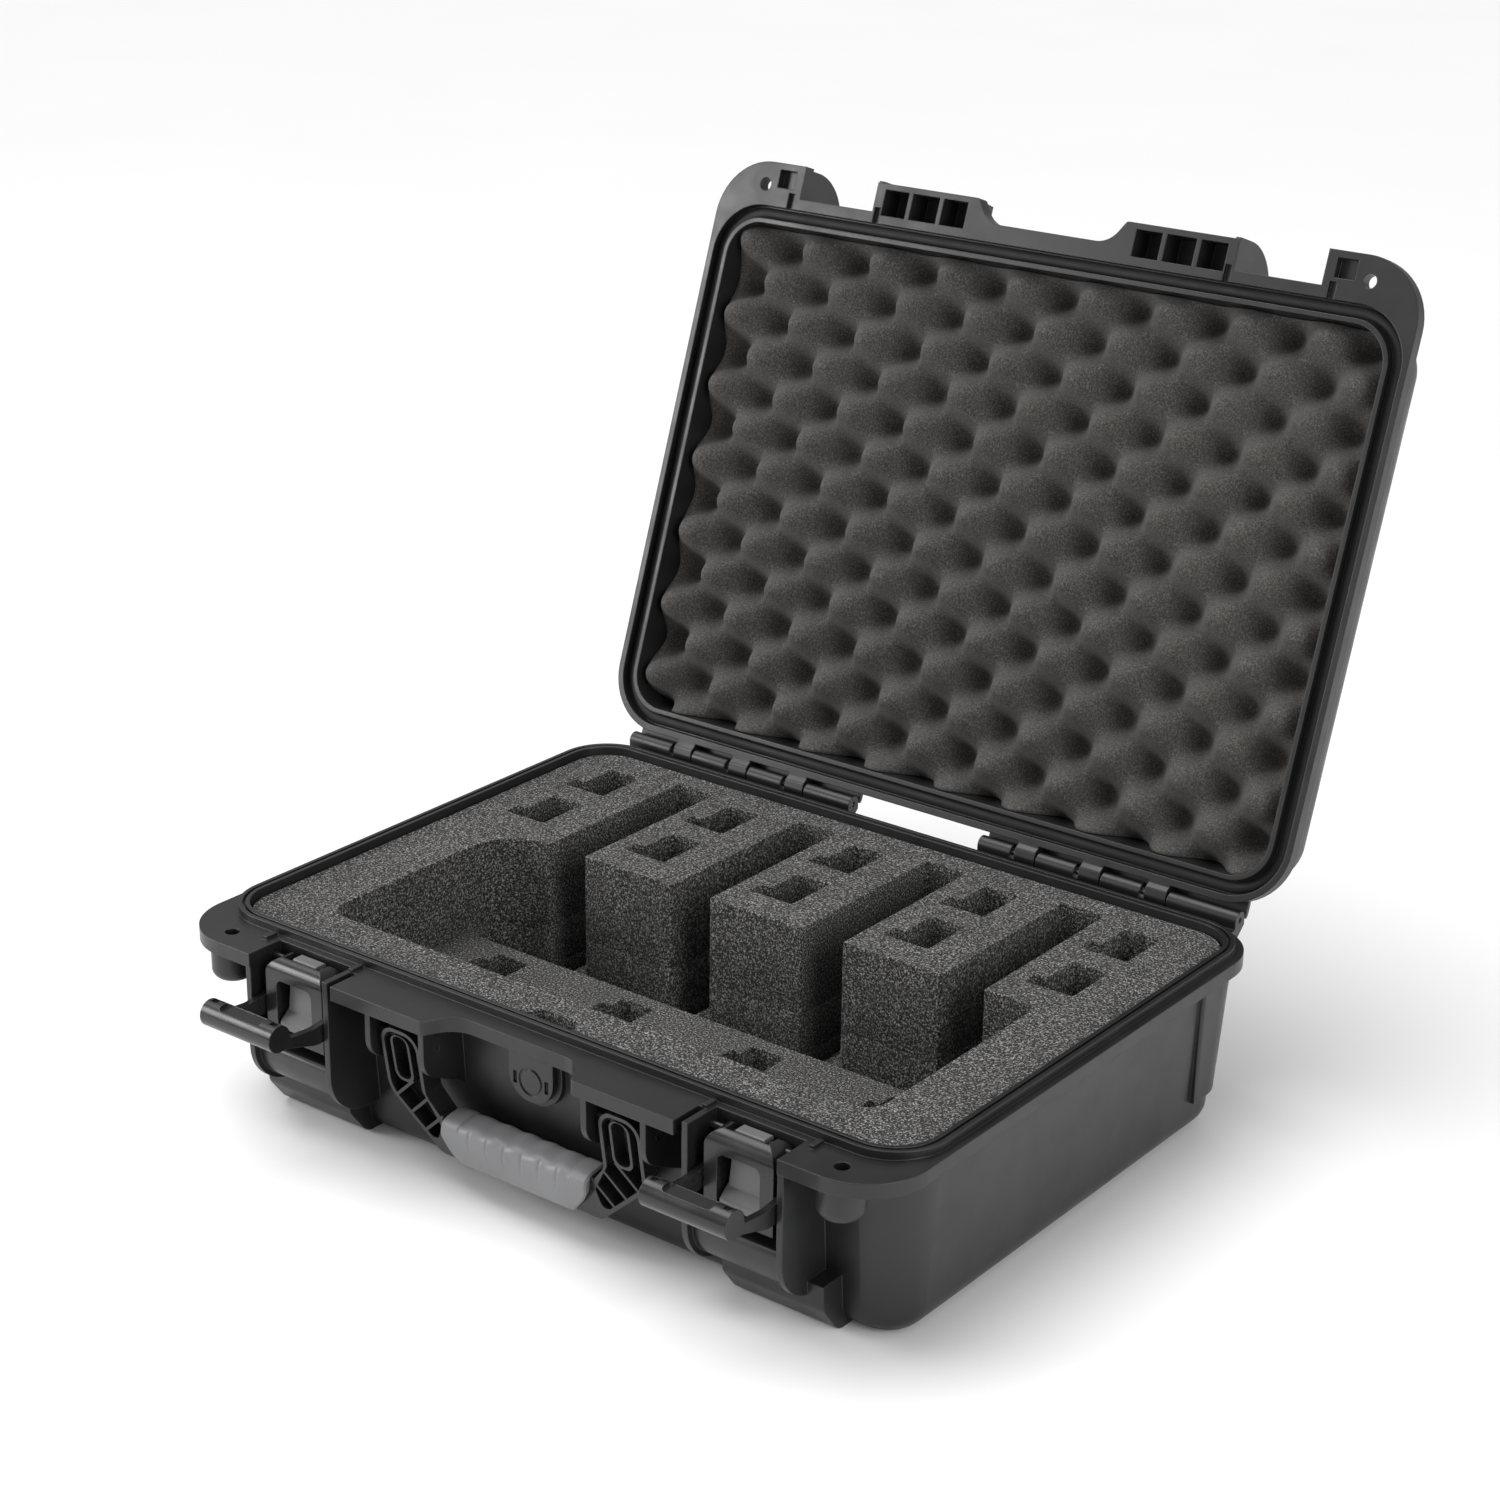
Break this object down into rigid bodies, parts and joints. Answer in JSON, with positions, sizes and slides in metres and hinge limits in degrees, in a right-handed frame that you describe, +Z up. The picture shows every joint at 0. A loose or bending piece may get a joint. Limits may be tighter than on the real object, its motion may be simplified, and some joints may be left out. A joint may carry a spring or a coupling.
{
  "type": "equipment carrying case",
  "caption": "Hard-shell carrying case, hinged lid open, with custom-cut foam, draw latches and a folding handle.",
  "frame": {"origin": "on the floor under the centre of the base, where the case stands", "axes": "+X along the length, -Y towards the latches and the handle, +Z up; the lid stands open on its hinge at +Y"},
  "size_m": [0.474, 0.5565, 0.4526],
  "materials": {
    "shell": "textured black moulded resin",
    "hardware": "smooth black moulded resin",
    "foam": "closed-cell foam with cut faces",
    "lid_foam": "convoluted open-cell foam",
    "seal": "soft seal rubber",
    "grip": "soft over-moulded grip rubber",
    "release": "smooth grey moulded resin",
    "steel": "ground stainless pin",
    "spring": "black-oxide spring wire"
  },
  "bodies": {
    "base": {"base_shell": "shell", "foam_upper": "foam", "foam_lower": "foam", "foam_base": "foam", "foam_floor_sheet": "foam", "valve_cap": "hardware", "valve_body": "hardware", "valve_seal": "seal", "hinge_pin_right": "steel", "hinge_pin_left": "steel", "handle_pin_right": "hardware", "handle_pin_left": "hardware", "latch_pin_right": "hardware", "latch_pin_left": "hardware"},
    "lid": {"lid_shell": "shell", "lid_gasket": "seal", "lid_foam": "lid_foam", "name_plate": "hardware"},
    "handle": {"handle_frame": "hardware", "handle_grip": "grip"},
    "lever_right": {"latch_lever_right": "hardware", "claw_pins_right": "hardware", "release_spring_right": "spring"},
    "claw_right": {"latch_claw_right": "hardware"},
    "release_right": {"latch_release_right": "release"},
    "lever_left": {"latch_lever_left": "hardware", "claw_pins_left": "hardware", "release_spring_left": "spring"},
    "claw_left": {"latch_claw_left": "hardware"},
    "release_left": {"latch_release_left": "release"}
  },
  "joints": [
    {"name": "lid_hinge", "type": "hinge", "parent": "base", "child": "lid", "pos_m": [0, 0.1752, 0.107], "axis": [1, 0, 0], "range_deg": [0, 109.3]},
    {"name": "handle_pivot", "type": "hinge", "parent": "base", "child": "handle", "pos_m": [0, -0.177, 0.0825], "axis": [-1, 0, 0], "range_deg": [0, 95]},
    {"name": "latch_lever_right_pivot", "type": "hinge", "parent": "base", "child": "lever_right", "pos_m": [0.1495, -0.1715, 0.097], "axis": [-1, 0, 0], "range_deg": [0, 12]},
    {"name": "latch_claw_right_pivot", "type": "hinge", "parent": "lever_right", "child": "claw_right", "pos_m": [0.1495, -0.178, 0.076], "axis": [-1, 0, 0], "range_deg": [0, 84]},
    {"name": "latch_release_right_rock", "type": "hinge", "parent": "lever_right", "child": "release_right", "pos_m": [0.1495, -0.1715, 0.097], "axis": [1, 0, 0], "range_deg": [0, 4], "stiffness_Nm_per_rad": 0.3, "springref_deg": -2.86},
    {"name": "latch_lever_left_pivot", "type": "hinge", "parent": "base", "child": "lever_left", "pos_m": [-0.1495, -0.1715, 0.097], "axis": [-1, 0, 0], "range_deg": [0, 12]},
    {"name": "latch_claw_left_pivot", "type": "hinge", "parent": "lever_left", "child": "claw_left", "pos_m": [-0.1495, -0.178, 0.076], "axis": [-1, 0, 0], "range_deg": [0, 84]},
    {"name": "latch_release_left_rock", "type": "hinge", "parent": "lever_left", "child": "release_left", "pos_m": [-0.1495, -0.1715, 0.097], "axis": [1, 0, 0], "range_deg": [0, 4], "stiffness_Nm_per_rad": 0.3, "springref_deg": -2.86}
  ]
}
